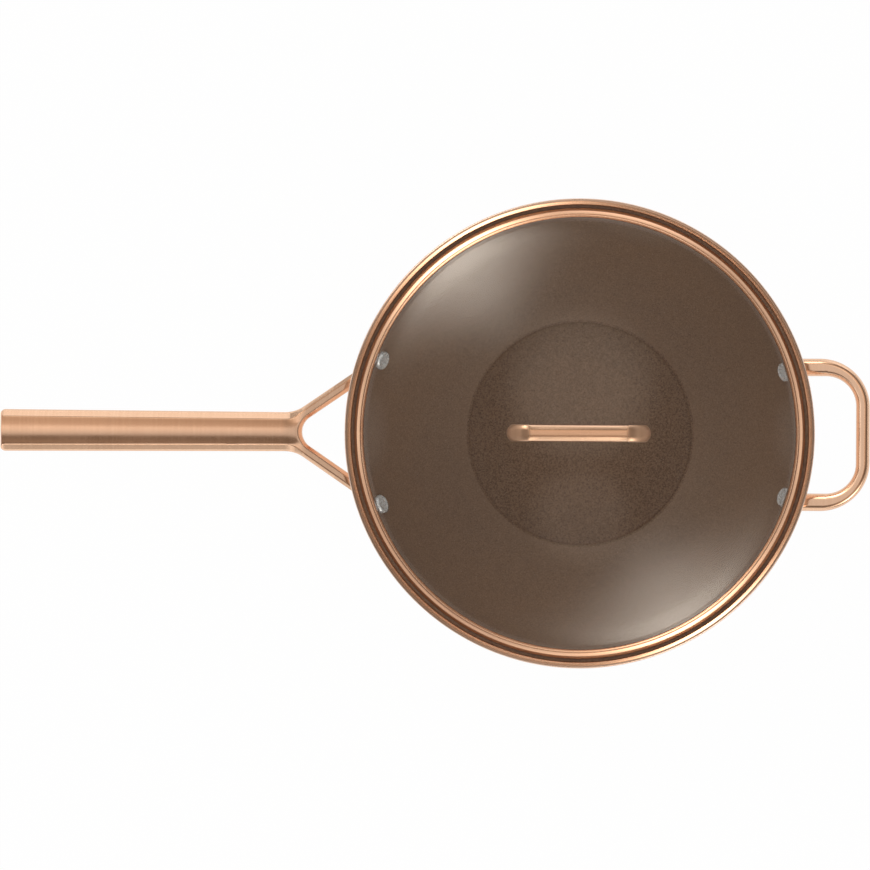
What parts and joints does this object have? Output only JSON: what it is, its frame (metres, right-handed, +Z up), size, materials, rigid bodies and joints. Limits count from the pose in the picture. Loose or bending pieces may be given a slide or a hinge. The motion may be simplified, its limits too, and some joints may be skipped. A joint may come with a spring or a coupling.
{
  "type": "wok with lid",
  "caption": "Round flat-bottomed wok with a forked long handle, a loop helper handle and a domed glass lid in a metal band with a bar handle.",
  "frame": {"origin": "on the bowl's axis, at the underside of the base disc", "axes": "+Z up, the long handle points along -X, the helper handle along +X"},
  "size_m": [0.5636, 0.3066, 0.1619],
  "materials": {
    "coated_bowl": "speckled taupe non-stick inside, satin copper colour outside and on the rim",
    "base_steel": "turned in fine rings",
    "handle_copper": "satin copper colour with a fine brushed grain",
    "rivet_metal": "pale satin metal",
    "lid_glass": "clear tempered glass",
    "lid_copper": "polished copper colour",
    "silicone": "matt moulded silicone",
    "fastener_steel": "plain bright steel"
  },
  "bodies": {
    "wok": {"wok_bowl": "coated_bowl", "base_disc": "base_steel", "long_handle": "handle_copper", "helper_handle": "handle_copper", "long_handle_rivet_front": "rivet_metal", "long_handle_rivet_back": "rivet_metal", "helper_handle_rivet_front": "rivet_metal", "helper_handle_rivet_back": "rivet_metal"},
    "lid": {"lid_glass": "lid_glass", "lid_band": "lid_copper", "lid_handle": "lid_copper", "lid_foot_gasket_left": "silicone", "lid_foot_gasket_right": "silicone", "lid_screw_gasket_left": "silicone", "lid_screw_gasket_right": "silicone", "lid_screw_washer_left": "fastener_steel", "lid_screw_washer_right": "fastener_steel", "lid_screw_left": "fastener_steel", "lid_screw_right": "fastener_steel"}
  },
  "joints": [
    {"name": "lid_lift", "type": "slide", "parent": "wok", "child": "lid", "axis": [0, 0, 1], "range_m": [0, 0.2]}
  ]
}
